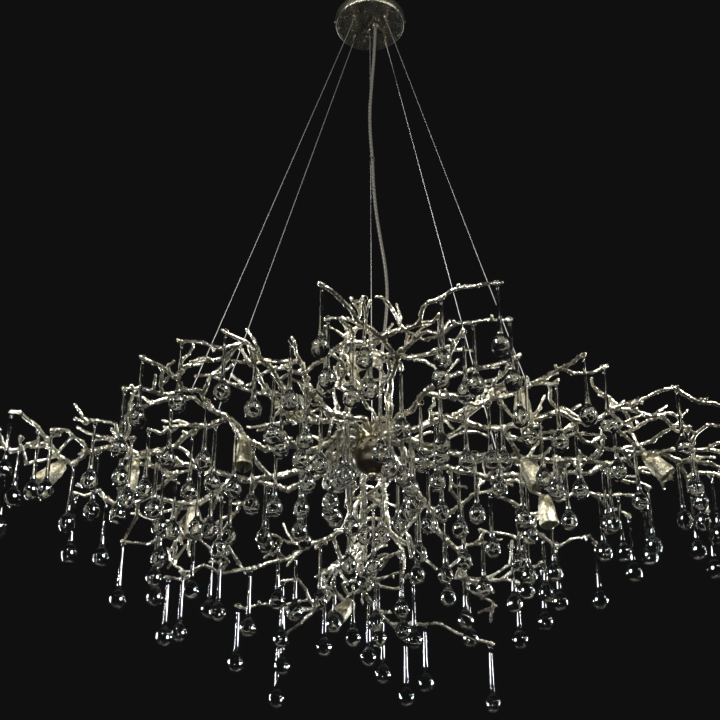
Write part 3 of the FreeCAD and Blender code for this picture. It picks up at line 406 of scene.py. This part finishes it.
# The castings: each solid gets seeded side twigs, spurs and a knotty skin, in mm.
branchSkin = {
    "voxel": 1.45, "softer": 5, "fatter": 0.95, "warp": 42, "warpReach": 10, "knots": 10, "knotDepth": 1.9,
    "buds": 15, "budHeight": 3.0, "budShare": 0.24, "pits": 4.5, "pitDepth": 0.4,
    "boughs": 4, "forks": 4, "shorts": 7, "spurs": 10,  # how many of each twig a casting gets
    "boughReach": 150, "forkReach": 90, "shortReach": 48, "spurReach": 12,
    "clear": 6, "swingClear": 46, "edge": 20, "hubRoom": 70,  # kept free of fixed glass, swinging glass, box, hub
    "inside": 38,  # a tip ends at most this far from a casting, so the outline stays
    "step": 7, "tries": 12, "rootDepth": 2.5, "rootLift": 5, "normalShare": 0.9, "outward": (0.1, 0.9),
    "rise": (-0.6, 0.2), "sizes": (0.75, 1.15), "turns": (0, 6.28), "seed": 11,
    "forkAt": (1, 0, 33), "forkTurn": 48, "branchAt": (8, 0, 62), "branchTurn": -50,
    "longTwig": [(3.3, 0, 0), (2.9, 13, 2.5), (3.2, 20, 3), (2.5, 33, -1), (2.4, 44, -3), (2.9, 51, -3),
                 (2.2, 64, 3), (2.1, 74, 6), (2.5, 79, 6.5), (1.9, 88, 5), (1.3, 90, 5)],
    "shortTwig": [(3.0, 0, 0), (2.6, 11, -2.5), (3.0, 17, -3), (2.3, 29, 1.5), (2.1, 39, 4), (2.4, 45, 4.5),
                  (1.4, 47.5, 4.5)],
    "bough": [(4.3, 0, 0), (3.7, 15, 4), (4.0, 24, 7), (3.3, 42, 10), (3.1, 58, 8), (3.6, 67, 5), (3.0, 84, -3),
              (2.8, 101, -11), (3.3, 110, -13), (2.6, 128, -12), (2.3, 144, -6), (2.7, 150, -3), (1.5, 153, -2)],
    "spur": [(2.8, 0, 0), (2.3, 5, 0.8), (2.5, 9.5, 1.4), (1.5, 11.5, 1.4)],
}
warpNoise = reliefTexture("warp", "CLOUDS", branchSkin["warp"], cloud_type="COLOR", noise_depth=0)
knotNoise = reliefTexture("knots", "CLOUDS", branchSkin["knots"], noise_depth=1)
pitNoise = reliefTexture("pits", "CLOUDS", branchSkin["pits"], noise_depth=1)
budNoise = reliefTexture("buds", "VORONOI", branchSkin["buds"], use_color_ramp=True)
budNoise.color_ramp.interpolation = "EASE"
budNoise.color_ramp.elements[0].color = grey(1)
budNoise.color_ramp.elements[1].color = grey(0)
budNoise.color_ramp.elements[1].position = branchSkin["budShare"]


def modelTwigs():
    longTwig = turnedPiece("longTwig", branchSkin["longTwig"], 7)
    shortTwig = turnedPiece("shortTwig", branchSkin["shortTwig"], 7)
    fork = copyOf(shortTwig, "fork")
    fork.matrix_world = (Matrix.Translation([c * mm for c in branchSkin["forkAt"]]) @
                         Matrix.Rotation(math.radians(branchSkin["forkTurn"]), 4, (0.3, 1, 0)))
    spur = turnedPiece("spur", branchSkin["spur"], 6)
    bough = turnedPiece("bough", branchSkin["bough"], 7)
    branch = copyOf(shortTwig, "branch")
    branch.matrix_world = (Matrix.Translation([c * mm for c in branchSkin["branchAt"]]) @
                           Matrix.Rotation(math.radians(branchSkin["branchTurn"]), 4, (0.2, 1, 0)))
    return joinAll([bough, branch], "forkedBough"), joinAll([longTwig, fork], "forkedTwig"), shortTwig, spur


def surfaceOf(names):  # a search tree over the faces of some CAD nodes
    whole = joinAll([copyOf(nodes[name], "obstacle") for name in names], "obstacles")
    tree = BVHTree.FromPolygons([v.co for v in whole.data.vertices], [p.vertices for p in whole.data.polygons])
    bpy.data.objects.remove(whole)
    return tree


def isFree(start, heading, length):
    steps = int(length / (branchSkin["step"] * mm))
    edge = branchSkin["edge"] * mm
    for step in range(1, steps + 2):
        spot = start + heading * (step * branchSkin["step"] * mm)
        if stillSurface.find_nearest(spot, branchSkin["clear"] * mm)[0] is not None:
            return False
        if swingSurface.find_nearest(spot, branchSkin["swingClear"] * mm)[0] is not None:
            return False
        if any(spot[i] < cadBox[0][i] + edge or spot[i] > cadBox[1][i] - edge for i in range(3)):
            return False
    return castSurface.find_nearest(spot, branchSkin["inside"] * mm)[0] is not None


def growTwigs(arm, model, reach, count, dice):
    faces = [face for face in arm.data.polygons if face.center.xy.length > branchSkin["hubRoom"] * mm]
    sizes = [face.area for face in faces]
    grown = []
    for trial in range(count * branchSkin["tries"]):
        if len(grown) == count:
            break
        face = dice.choices(faces, sizes)[0]
        away = Vector((face.center.x, face.center.y, 0)).normalized()
        outward = away * dice.uniform(*branchSkin["outward"])
        rise = Vector((0, 0, dice.uniform(*branchSkin["rise"])))
        heading = (face.normal * branchSkin["normalShare"] + outward + rise).normalized()
        size = dice.uniform(*branchSkin["sizes"])
        start = face.center - face.normal * branchSkin["rootDepth"] * mm
        if not isFree(face.center + heading * branchSkin["rootLift"] * mm, heading, reach * size * mm):
            continue
        twig = copyOf(model, "twig")
        aim = heading.to_track_quat("Z", "Y").to_matrix().to_4x4()
        turn = aim @ Matrix.Rotation(dice.uniform(*branchSkin["turns"]), 4, "Z")
        twig.matrix_world = Matrix.Translation(start) @ turn @ Matrix.Diagonal((1, 1, size, 1))
        grown.append(twig)
    return grown


def makeArm(name, dice):
    arm = copyOf(nodes[name], "leafed_" + name)
    twigs = []
    for model, reach, count in ((forkedBough, "boughReach", "boughs"), (forkedTwig, "forkReach", "forks"),
                                (shortTwig, "shortReach", "shorts"), (spur, "spurReach", "spurs")):
        twigs += growTwigs(arm, model, branchSkin[reach], branchSkin[count], dice)
    arm = joinAll([arm] + twigs, "leafed_" + name)
    addModifier(arm, "WELD", {"merge_threshold": 1e-5})
    addModifier(arm, "REMESH", {"mode": "VOXEL", "voxel_size": branchSkin["voxel"] * mm, "use_smooth_shade": True})
    addModifier(arm, "SMOOTH", {"factor": 0.5, "iterations": branchSkin["softer"]})
    addModifier(arm, "DISPLACE", {"texture": warpNoise, "texture_coords": "LOCAL", "direction": "RGB_TO_XYZ",
                                  "strength": branchSkin["warpReach"] * mm, "mid_level": 0.5})
    inward = branchSkin["fatter"] / branchSkin["knotDepth"]
    for texture, depth, level in ((knotNoise, branchSkin["knotDepth"], 0.5 - inward),
                                  (budNoise, branchSkin["budHeight"], 0.0),
                                  (pitNoise, branchSkin["pitDepth"], 0.5)):
        addModifier(arm, "DISPLACE", {"texture": texture, "texture_coords": "LOCAL", "strength": depth * mm,
                                      "mid_level": level})
    applyAll(arm)
    smoothAll(arm)
    give(arm, leafOnBranches)
    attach(arm, "fixture")
    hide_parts(name)


stillNames = ["drops_left", "drops_middle", "drops_right", "drop_rings", "lamp_cups", "lamps", "suspension_wires",
              "power_cable", "wire_eyes"]
stillSurface = surfaceOf(stillNames)
castSurface = surfaceOf([name for name in nodes if name.startswith("arm_")])
swingSurface = surfaceOf([name for name in nodes if name.startswith("swing_drop_")])
forkedBough, forkedTwig, shortTwig, spur = modelTwigs()
dice = random.Random(branchSkin["seed"])
for name in sorted(nodes):
    if name.startswith("arm_"):
        makeArm(name, dice)
for model in (forkedBough, forkedTwig, shortTwig, spur):
    bpy.data.objects.remove(model)
print("castings are leafed")


# The glass drops: a loop, a long drawn neck and a round bulb. The cage is coarse and subdivided.
glassDrop = {
    "hangs": 139.7, "sides": 6,
    "rings": [(2.2, -4.2, 0), (3.6, -8, 0), (4.0, -45, 0), (4.6, -93, 0), (7.4, -103.5, 0), (14.2, -109.5, 0),
              (18.9, -118.5, 0), (18.9, -130, 0), (12.6, -139.4, 0), (4.0, -141.4, 0)],
    "loop": 4.0, "loopWire": 1.75, "loopTop": 6,
}


def modelDrop():
    drop = turnedPiece("dropModel", glassDrop["rings"], glassDrop["sides"])
    deselectAll()
    bpy.ops.mesh.primitive_torus_add(major_segments=8, minor_segments=4, major_radius=glassDrop["loop"] * mm,
                                     minor_radius=glassDrop["loopWire"] * mm, rotation=(math.pi / 2, 0, 0))
    return joinAll([drop, settle(bpy.context.object)], "dropModel")


# Direction in which points lie furthest apart in plan.
def planHeading(points):
    middle = sum(points, Vector()) / len(points)
    xx = sum((p.x - middle.x) ** 2 for p in points)
    yy = sum((p.y - middle.y) ** 2 for p in points)
    xy = sum((p.x - middle.x) * (p.y - middle.y) for p in points)
    return 0.5 * math.atan2(2 * xy, xx - yy)


def placesOfDrops(name):
    places = []
    for points in solidsOf(name):
        middle, low, high = middleOf(points)
        top = [p for p in points if p.z > high.z - glassDrop["loopTop"] * mm]
        places.append((Vector((middle.x, middle.y, low.z + glassDrop["hangs"] * mm)), planHeading(top)))
    return places


def makeDrops(name, places, body, replaced):
    parts = []
    for spot, heading in places:
        part = copyOf(dropModel, "drop")
        part.matrix_world = Matrix.Translation(spot) @ Matrix.Rotation(heading, 4, "Z")
        parts.append(part)
    piece = joinAll(parts, name)
    addModifier(piece, "SUBSURF", {"levels": 2, "render_levels": 2})
    smoothAll(piece)
    give(piece, clearGlass)
    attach(piece, body)
    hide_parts(replaced)


dropModel = modelDrop()
for side in ("left", "middle", "right"):
    places = sorted(placesOfDrops("drops_" + side), key=lambda place: place[0].x)
    half = len(places) // 2 + 1
    makeDrops("glass_drops_%s_a" % side, places[:half], "fixture", "drops_" + side)
    makeDrops("glass_drops_%s_b" % side, places[half:], "fixture", "drops_" + side)
for name in sorted(nodes):
    if name.startswith("swing_drop_"):
        makeDrops("glass_" + name, placesOfDrops(name), name + "_body", name)
bpy.data.objects.remove(dropModel)
print("drops hang")


# The wire rings that the drops hang from.
hookRing = {"wire": 0.8, "segments": 12, "sides": 4,
            "rounder": 1.03, "thicker": 1.2}  # makes up for what subdividing takes off


def makeRings():
    parts = []
    for points in solidsOf("drop_rings"):
        middle = middleOf(points)[0]
        far = max(points, key=lambda p: (p - middle).length) - middle
        side = max(points, key=lambda p: (p - middle).cross(far).length) - middle
        radius = (far.length / mm - hookRing["wire"]) * hookRing["rounder"]
        deselectAll()
        turn = far.cross(side).to_track_quat("Z", "Y").to_euler()
        bpy.ops.mesh.primitive_torus_add(major_segments=hookRing["segments"], minor_segments=hookRing["sides"],
                                         major_radius=radius * mm, location=middle, rotation=turn,
                                         minor_radius=hookRing["wire"] * hookRing["thicker"] * mm)
        parts.append(bpy.context.object)
    rings = joinAll(parts, "wire_hook_rings")
    addModifier(rings, "SUBSURF", {"levels": 1, "render_levels": 1})
    smoothAll(rings)
    give(rings, nickelScrew)
    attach(rings, "fixture")
    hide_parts("drop_rings")


makeRings()
print("rings are on")


# The lamp cups: pods with a granular bark and an uneven rim.
lampCup = {
    "rings": [(1.0, 6.0, 0), (8.6, 6.2, 0), (9.8, 8, 0), (11.4, 16, 0), (13.2, 26, 0), (14.6, 38, 0),
              (15.8, 50, 0), (16.2, 59, 0), (16.6, 63.2, 0), (17.8, 64, 0), (18.8, 62.6, 0), (18.9, 58, 0),
              (18.7, 52, 0), (18.3, 46, 0), (17.7, 40, 0), (17.0, 34, 0), (16.2, 28, 0), (15.3, 22, 0),
              (14.2, 16, 0), (12.9, 10, 0), (11.6, 5, 0), (10.4, 1.6, 0), (8.0, 0.2, 0), (1.0, 0.0, 0)],
    "sides": 56, "grain": 4.2, "grainDepth": 1.7, "lumps": 12, "lumpDepth": 3.4,
}


def modelCup():
    cup = turnedPiece("cupModel", lampCup["rings"], lampCup["sides"])
    addModifier(cup, "SUBSURF", {"levels": 1, "render_levels": 1})
    grains = reliefTexture("cupGrains", "VORONOI", lampCup["grain"])
    lumps = reliefTexture("cupLumps", "CLOUDS", lampCup["lumps"], noise_depth=2)
    addModifier(cup, "DISPLACE", {"texture": lumps, "texture_coords": "LOCAL",
                                  "strength": lampCup["lumpDepth"] * mm, "mid_level": 0.5})
    addModifier(cup, "DISPLACE", {"texture": grains, "texture_coords": "LOCAL",
                                  "strength": -lampCup["grainDepth"] * mm, "mid_level": 0.4})
    applyAll(cup)
    smoothAll(cup)
    return cup


# A cup's base and the way its mouth points, from its solid.
def cupPlaces():
    places = []
    for points in solidsOf("lamp_cups"):
        middle = sum(points, Vector()) / len(points)
        heading = Vector((0, 0, -1))
        for turn in range(40):
            heading = sum(((p - middle) * (p - middle).dot(heading) for p in points), Vector()).normalized()
        far = max(points, key=lambda p: (p - middle).length)
        if (far - middle).dot(heading) < 0:
            heading = -heading
        places.append((middle + heading * min((p - middle).dot(heading) for p in points), heading))
    return places


def makeCups():
    cupModel = modelCup()
    parts = []
    for base, heading in cupPlaces():
        part = copyOf(cupModel, "cup")
        part.matrix_world = Matrix.Translation(base) @ heading.to_track_quat("Z", "Y").to_matrix().to_4x4()
        parts.append(part)
    bpy.data.objects.remove(cupModel)
    piece = joinAll(parts, "granular_lamp_cups")
    give(piece, leafOnCups)
    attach(piece, "fixture")
    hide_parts("lamp_cups")


makeCups()
print("cups are on")


# The canopy: a chased disc with a plain rolled rim.
canopyDisc = {
    "faceRadius": 70, "faceStep": 2.4, "face": -26,
    "rim": [(72, -26, 0), (73.2, -25, 0), (75.5, -26.2, 0), (78.2, -25.4, 0), (79.7, -22.5, 0), (80, -18, 0),
            (80, -1, 0), (78.5, -1, 0), (78.5, -19, 0), (75, -24, 0), (1, -24, 0)],
    "sides": 120, "chased": 7, "chasedDepth": 2.2, "fine": 3, "fineDepth": 0.8,
}


def makeCanopy():
    steps = int(canopyDisc["faceRadius"] / canopyDisc["faceStep"])
    face = [(1 + canopyDisc["faceStep"] * step, canopyDisc["face"], 0) for step in range(steps + 1)]
    canopy = turnedPiece("chased_canopy", face + canopyDisc["rim"], canopyDisc["sides"])
    makeActive(canopy)
    chasedPart = canopy.vertex_groups.new(name="chasedPart")
    limit = (canopyDisc["faceRadius"] + 1) * mm
    chasedPart.add([v.index for v in canopy.data.vertices
                    if v.co.xy.length < limit and v.co.z < (canopyDisc["face"] + 1) * mm], 1.0, "REPLACE")
    addModifier(canopy, "SUBSURF", {"levels": 1, "render_levels": 1})
    chasing = reliefTexture("chasing", "VORONOI", canopyDisc["chased"], weight_1=-1.0, weight_2=1.0)
    fine = reliefTexture("fineChasing", "CLOUDS", canopyDisc["fine"], noise_depth=1)
    for texture, depth in ((chasing, canopyDisc["chasedDepth"]), (fine, canopyDisc["fineDepth"])):
        addModifier(canopy, "DISPLACE", {"texture": texture, "texture_coords": "LOCAL", "strength": depth * mm,
                                         "mid_level": 0.35, "vertex_group": "chasedPart"})
    applyAll(canopy)
    smoothAll(canopy)
    give(canopy, darkRelief)
    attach(canopy, "fixture")
    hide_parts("canopy")


makeCanopy()
print("canopy is up")


# Finishes of the CAD nodes that show as they are.
finishes = {
    "ceiling_bracket": zincPlate, "canopy_side_screws": nickelScrew,
    "terminal_block": terminalNylon, "cable_gland": nickelScrew, "gripper_collars": nickelScrew,
    "gripper_bodies": nickelScrew, "suspension_wires": steelWire, "wire_eyes": steelWire,
    "cable_clip": nickelScrew, "hub_disc": agedSilver, "hub_eye": steelWire, "hub_collar": brushedCollar,
    "hub_bowl": darkBowl, "hub_rod": zincPlate, "hub_nuts": zincPlate, "hub_finial": brightBall,
    "hub_screws": nickelScrew, "hub_terminal": terminalNylon, "hub_terminal_bracket": zincPlate,
    "lampholders": holderCeramic, "lamps": lampGlass,
}
for name, material in finishes.items():
    give(nodes[name], material)
for name in nodes:
    if name.startswith("gripper_plunger_"):
        give(nodes[name], nickelScrew)
print("finishes are on")


# A dark wall overhead, a pale floor and soft lamps.
studio = {
    "floor": -4.3, "floorLight": "#cfccc5", "floorDark": "#c6c3bc", "wall": "#101011", "air": "#9fa3a8",
    "floorSize": 24, "floorPatch": 400, "floorMirrored": "#313130", "aim": (0, 0, -1.2),
    "lamps": [
        ("keyLeft", (-1.9, -1.9, 0.1), 0.36, 125, "#fffaf2"), ("keyRight", (2.1, -1.7, -0.1), 0.36, 108, "#fff9ee"),
        ("lowFront", (-0.9, -2.2, -2.9), 0.34, 28, "#ffffff"),
        ("backLeft", (-1.4, 2.1, -0.4), 0.36, 22, "#ffffff"), ("backRight", (1.5, 2.0, -0.5), 0.36, 22, "#ffffff"),
    ],
}


def darkAirShare(tree):  # 1 for rays that should meet the wall's own tone
    rays = addNode(tree, "ShaderNodeLightPath")
    seen = addNode(tree, "ShaderNodeMath", {"operation": "MAXIMUM"},
                   {0: (rays, "Is Camera Ray"), 1: (rays, "Is Transmission Ray")})
    return addNode(tree, "ShaderNodeMath", {"operation": "MAXIMUM"}, {0: (seen, 0), 1: (rays, "Is Glossy Ray")})


def floorMaterial():  # matt painted floor; glass and metal meet it as dark as the wall
    material, tree = startMaterial("paleMattFloorPaint")
    place = addNode(tree, "ShaderNodeTexCoord")
    patches = addNode(tree, "ShaderNodeTexNoise", {"Scale": 1 / (studio["floorPatch"] * mm), "Detail": 3.0},
                      {"Vector": (place, "Object")})
    tone = addNode(tree, "ShaderNodeValToRGB", {"stops": [(0.3, hexColour(studio["floorDark"])),
                                                          (0.7, hexColour(studio["floorLight"]))]},
                   {"Fac": (patches, "Fac")})
    paint = addNode(tree, "ShaderNodeBsdfDiffuse", {"Roughness": 0.5}, {"Color": (tone, "Color")})
    dark = addNode(tree, "ShaderNodeBsdfDiffuse", {"Color": hexColour(studio["floorMirrored"])})
    rays = addNode(tree, "ShaderNodeLightPath")
    through = addNode(tree, "ShaderNodeMath", {"operation": "MAXIMUM"},
                      {0: (rays, "Is Glossy Ray"), 1: (rays, "Is Transmission Ray")})
    shader = addNode(tree, "ShaderNodeMixShader", links={0: (through, 0), 1: (paint, "BSDF"), 2: (dark, "BSDF")})
    addNode(tree, "ShaderNodeOutputMaterial", links={"Surface": (shader, "Shader")})
    return material


def makeFloor():
    deselectAll()
    bpy.ops.mesh.primitive_plane_add(size=studio["floorSize"], location=(0, 0, studio["floor"]))
    floor = bpy.context.object
    floor.name = "studio_floor"
    give(floor, floorMaterial())


def makeLamps():
    for name, place, size, power, tone in studio["lamps"]:
        deselectAll()
        turn = (Vector(studio["aim"]) - Vector(place)).to_track_quat("-Z", "Y").to_euler()
        bpy.ops.object.light_add(type="AREA", location=place, rotation=turn)
        lamp = bpy.context.object
        lamp.name = name
        lamp.data.shape = "DISK"
        lamp.data.size = size
        lamp.data.energy = power
        lamp.data.color = hexColour(tone)[:3]


def makeAir():
    world = bpy.data.worlds.new("studioAir")
    bpy.context.scene.world = world
    world.use_nodes = True
    tree = world.node_tree
    tree.nodes.clear()
    share = darkAirShare(tree)
    fill = addNode(tree, "ShaderNodeBackground", {"Color": hexColour(studio["air"]), "Strength": 0.5})
    wall = addNode(tree, "ShaderNodeBackground", {"Color": hexColour(studio["wall"]), "Strength": 1.0})
    both = addNode(tree, "ShaderNodeMixShader", links={0: (share, 0), 1: (fill, 0), 2: (wall, 0)})
    addNode(tree, "ShaderNodeOutputWorld", links={"Surface": (both, "Shader")})


makeFloor()
makeLamps()
makeAir()
bpy.context.scene.view_settings.view_transform = "Standard"
print("light is set")
